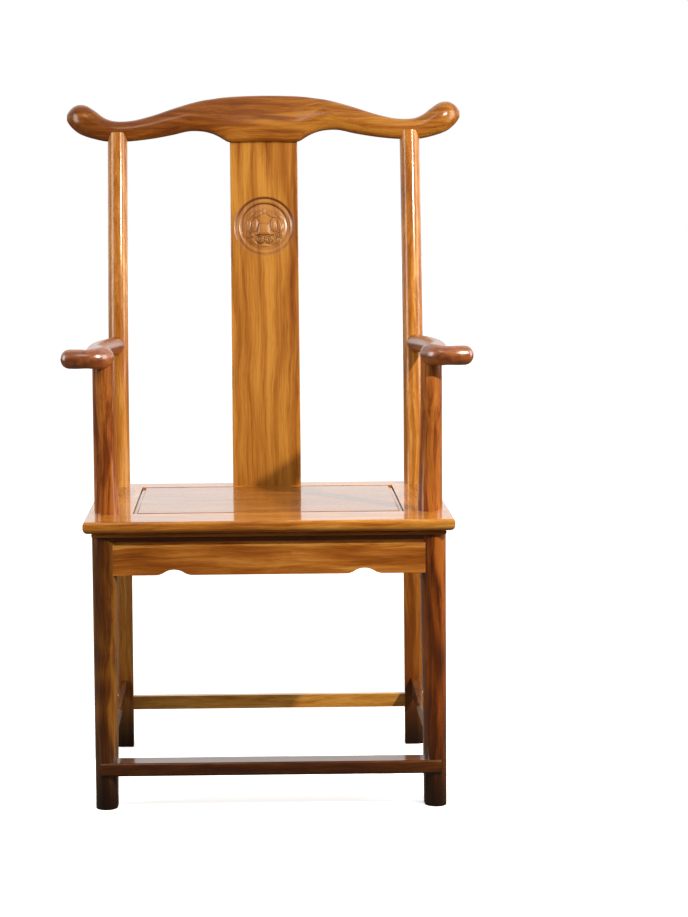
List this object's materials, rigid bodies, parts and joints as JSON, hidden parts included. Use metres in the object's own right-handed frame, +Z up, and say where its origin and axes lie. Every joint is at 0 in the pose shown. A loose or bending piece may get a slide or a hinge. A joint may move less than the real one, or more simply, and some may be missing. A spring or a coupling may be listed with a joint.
{
  "type": "official hat armchair",
  "caption": "High-back hardwood armchair with a yoke crest rail, curved splat with a carved roundel, arms that curl outwards, a framed panel seat and a low footrest rail.",
  "frame": {"origin": "on the floor, at the middle of the chair's bounding box", "axes": "+Z up, +X towards the viewer's right when looking at the front, the sitter faces -Y"},
  "size_m": [0.7098, 0.5518, 1.176],
  "materials": {
    "arm_wood": "gloss lacquer",
    "crest_wood": "gloss lacquer",
    "splat_wood": "gloss lacquer",
    "panel_wood": "gloss lacquer",
    "underside_wood": "thin lacquer",
    "frame_wood": "gloss lacquer",
    "post_wood": "gloss lacquer",
    "rail_wood": "gloss lacquer"
  },
  "bodies": {
    "root": {"apron_front": "rail_wood", "apron_left": "rail_wood", "apron_rear": "rail_wood", "apron_right": "rail_wood", "arm_rail_left": "arm_wood", "arm_rail_right": "arm_wood", "back_splat": "splat_wood", "crest_rail": "crest_wood", "front_leg_left": "post_wood", "front_leg_right": "post_wood", "gooseneck_post_left": "post_wood", "gooseneck_post_right": "post_wood", "rear_leg_post_left": "post_wood", "rear_leg_post_right": "post_wood", "seat_batten_left": "underside_wood", "seat_batten_right": "underside_wood", "seat_frame_front": "frame_wood", "seat_frame_left": "frame_wood", "seat_frame_rear": "frame_wood", "seat_frame_right": "frame_wood", "seat_panel": "panel_wood", "stretcher_front": "rail_wood", "stretcher_left": "rail_wood", "stretcher_rear": "rail_wood", "stretcher_right": "rail_wood"}
  },
  "joints": []
}
